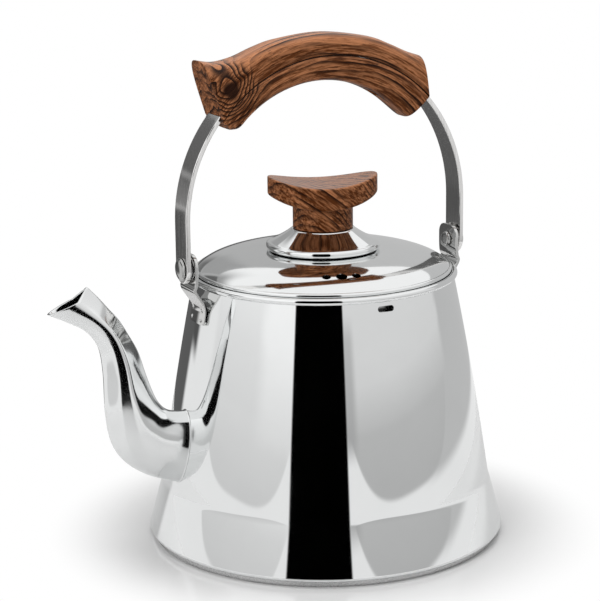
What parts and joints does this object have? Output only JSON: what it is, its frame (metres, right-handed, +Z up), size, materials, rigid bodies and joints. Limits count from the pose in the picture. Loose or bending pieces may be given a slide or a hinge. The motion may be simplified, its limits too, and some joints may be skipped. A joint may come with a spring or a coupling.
{
  "type": "stovetop kettle",
  "caption": "Stovetop kettle with a tapered steel body on a flared foot, a curved beak spout, a lift-off lid with a wooden knob and a swinging bail with a wooden grip.",
  "frame": {"origin": "centre of the base's flat underside", "axes": "+Z up along the body's axis, -X toward the spout, Y across; the bail's pivots lie on the line along X"},
  "size_m": [0.2317, 0.1768, 0.2485],
  "materials": {
    "polished_steel": "mirror-polished stainless steel",
    "satin_steel": "satin stainless steel",
    "rosewood": "reddish brown wood with dark streaks, semi-gloss lacquer"
  },
  "bodies": {
    "kettle": {"body_shell": "polished_steel", "base_disc": "satin_steel", "spout": "polished_steel", "front_ear": "polished_steel", "rear_ear": "polished_steel", "front_rivet": "satin_steel", "rear_rivet": "satin_steel", "front_washer": "satin_steel", "rear_washer": "satin_steel"},
    "bail": {"bail_strap": "satin_steel", "grip_upper": "rosewood", "grip_lower": "rosewood", "grip_screw_front": "satin_steel", "grip_screw_rear": "satin_steel"},
    "lid_assembly": {"lid": "polished_steel", "lid_skirt": "satin_steel", "knob_base": "polished_steel", "knob": "rosewood", "knob_washer": "satin_steel", "knob_screw": "satin_steel"}
  },
  "joints": [
    {"name": "bail_hinge", "type": "hinge", "parent": "kettle", "child": "bail", "pos_m": [0, 0, 0.1404], "axis": [1, 0, 0], "range_deg": [-105, 105]},
    {"name": "lid_lift", "type": "slide", "parent": "kettle", "child": "lid_assembly", "axis": [0, 0, 1], "range_m": [0, 0.034]}
  ]
}
